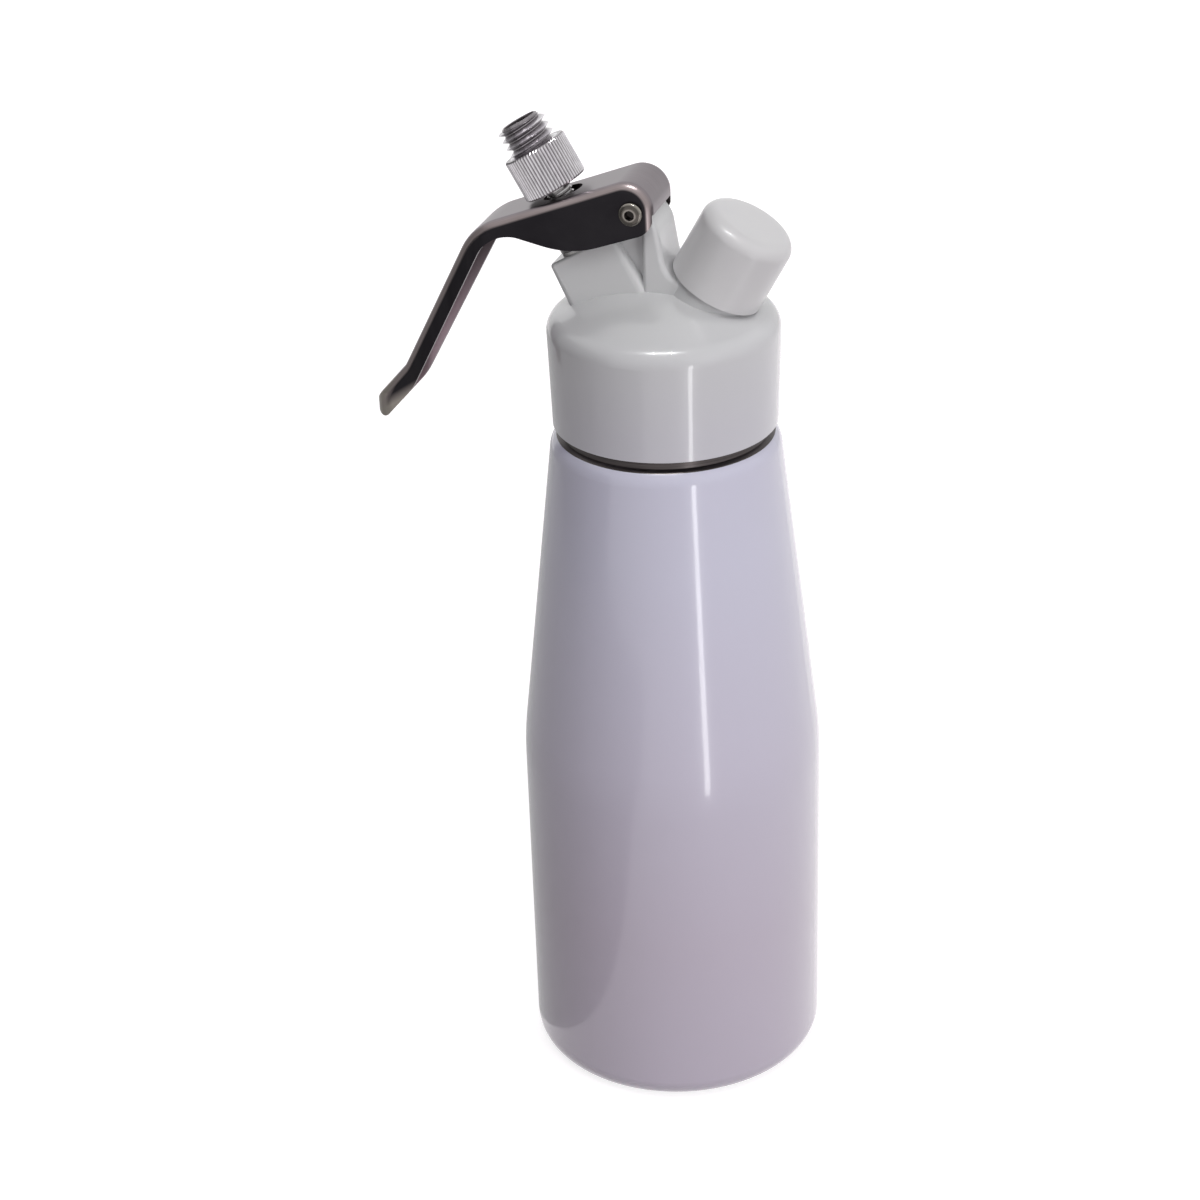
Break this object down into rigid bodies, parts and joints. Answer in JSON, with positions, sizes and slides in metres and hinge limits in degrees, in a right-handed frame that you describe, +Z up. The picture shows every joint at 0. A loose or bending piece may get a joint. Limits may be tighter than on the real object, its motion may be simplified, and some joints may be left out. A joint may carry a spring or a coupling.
{
  "type": "whipped cream dispenser",
  "caption": "Bottle with a conical shoulder and a screw-on head carrying a squeeze lever, a leaning dispensing valve with a knurled tip adapter, and a capped charger port.",
  "frame": {"origin": "centre of the bottle's foot, on the surface it stands on", "axes": "+Z up along the bottle's axis; -X towards the lever's handle and the leaning nozzle; +X towards the charger port"},
  "size_m": [0.1196, 0.0808, 0.2691],
  "materials": {
    "bottle_paint": "gloss",
    "head_paint": "gloss",
    "lever_steel": "polished",
    "valve_steel": "satin",
    "adapter_metal": "satin",
    "spring_steel": "satin",
    "pivot_steel": "satin",
    "cap_plastic": "gloss",
    "port_brass": "satin",
    "seal_rubber": "matte",
    "washer_plastic": "matte"
  },
  "bodies": {
    "bottle": {"bottle": "bottle_paint"},
    "head_seal": {"head_gasket": "seal_rubber"},
    "head": {"head_body": "head_paint", "guide_bush": "port_brass", "bush_washer": "washer_plastic", "stem_o_ring": "seal_rubber", "valve_spring": "spring_steel", "pivot_barrel": "pivot_steel", "pivot_screw": "pivot_steel", "lever_washer_near": "washer_plastic", "lever_washer_far": "washer_plastic", "inlet_valve": "port_brass", "inlet_washer": "washer_plastic", "charger_gasket": "seal_rubber", "check_sleeve": "seal_rubber", "piercing_pin": "pivot_steel"},
    "lever": {"lever": "lever_steel"},
    "valve": {"valve_stem": "valve_steel", "seat_gasket": "seal_rubber", "thrust_collar": "valve_steel", "retaining_clip": "spring_steel"},
    "adapter_seal": {"adapter_seal": "seal_rubber"},
    "adapter": {"tip_adapter": "adapter_metal"},
    "cap_seal": {"cap_seal": "seal_rubber"},
    "cap": {"port_cap": "cap_plastic"}
  },
  "joints": [
    {"name": "head_turn", "type": "hinge", "parent": "bottle", "child": "head_seal", "pos_m": [0, 0, 0.206], "axis": [0, 0, 1], "range_deg": [0, 1440]},
    {"name": "head_lift", "type": "slide", "parent": "head_seal", "child": "head", "axis": [0, 0, 1], "range_m": [0, 0.0121]},
    {"name": "lever_press", "type": "hinge", "parent": "head", "child": "lever", "pos_m": [-0.005, 0, 0.2475], "axis": [0, -1, 0], "range_deg": [0, 12], "stiffness_Nm_per_rad": 0.9, "springref_deg": -20.05},
    {"name": "valve_slide", "type": "slide", "parent": "head", "child": "valve", "axis": [-0.4924, 0, 0.8704], "range_m": [-0.0034, 0], "deforming": ["valve_spring"]},
    {"name": "adapter_turn", "type": "hinge", "parent": "valve", "child": "adapter_seal", "pos_m": [-0.03019, 0, 0.25495], "axis": [-0.4924, 0, 0.8704], "range_deg": [0, 1440]},
    {"name": "adapter_lift", "type": "slide", "parent": "adapter_seal", "child": "adapter", "axis": [-0.4924, 0, 0.8704], "range_m": [0, 0.0061]},
    {"name": "cap_turn", "type": "hinge", "parent": "head", "child": "cap_seal", "pos_m": [0.01988, 0, 0.23736], "axis": [0.4848, 0, 0.8746], "range_deg": [0, 1800]},
    {"name": "cap_lift", "type": "slide", "parent": "cap_seal", "child": "cap", "axis": [0.4848, 0, 0.8746], "range_m": [0, 0.0101]}
  ],
  "couplings": [
    {"joint": "head_lift", "follows": "head_turn", "m_per_rad": 0.00047746},
    {"joint": "valve_slide", "follows": "lever_press", "m_per_rad": -0.0158},
    {"joint": "adapter_lift", "follows": "adapter_turn", "m_per_rad": 0.00023873},
    {"joint": "cap_lift", "follows": "cap_turn", "m_per_rad": 0.00031831}
  ]
}
